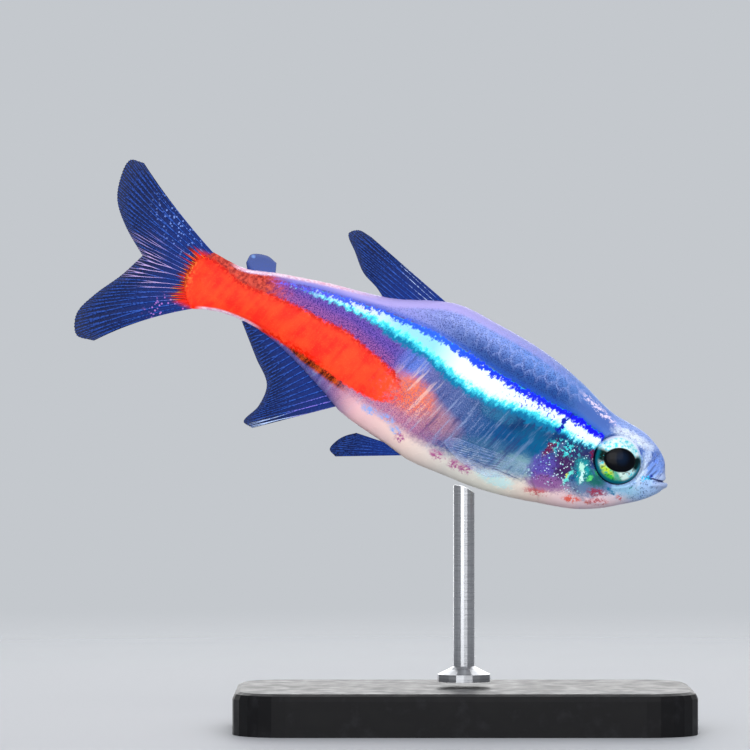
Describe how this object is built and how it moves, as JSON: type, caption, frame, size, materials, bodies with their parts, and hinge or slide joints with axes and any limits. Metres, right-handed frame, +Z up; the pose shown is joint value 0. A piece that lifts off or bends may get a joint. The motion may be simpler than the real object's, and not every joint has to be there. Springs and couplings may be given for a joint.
{
  "type": "neon tetra model on a display stand",
  "caption": "Life-size small striped aquarium fish, nose down as if swimming, held by a rod on a flat rounded base.",
  "frame": {"origin": "centre of the base's flat underside, on the middle plane of the fish", "axes": "+X towards the fish's snout, +Y towards its left side, +Z up; the fish is pitched 22.85 degrees nose down"},
  "size_m": [0.0351, 0.015, 0.0323],
  "materials": {
    "head_skin": "wet, slightly see-through lavender blue skin",
    "gill_cover_skin": "pearly blue-green with a maroon patch",
    "flank_skin": "fine overlapping scales, iridescent blue stripe over grey-blue",
    "red_skin": "fine overlapping scales, bright red",
    "eye": "clear and glossy over a bright iris and a black pupil",
    "fin_membrane": "thin see-through blue membrane on fine rays",
    "base_paint": "satin black",
    "rod_steel": "satin steel"
  },
  "bodies": {
    "root": {"head": "head_skin", "gill_cover_right": "gill_cover_skin", "gill_cover_left": "gill_cover_skin", "eye_right": "eye", "eye_left": "eye", "trunk": "flank_skin", "tail_stalk": "red_skin", "dorsal_fin": "fin_membrane", "adipose_fin": "fin_membrane", "anal_fin": "fin_membrane", "tail_fin_upper": "fin_membrane", "tail_fin_lower": "fin_membrane", "pectoral_fin_right": "fin_membrane", "pectoral_fin_left": "fin_membrane", "pelvic_fin_right": "fin_membrane", "pelvic_fin_left": "fin_membrane", "stand_base": "base_paint", "stand_rod": "rod_steel"}
  },
  "joints": []
}
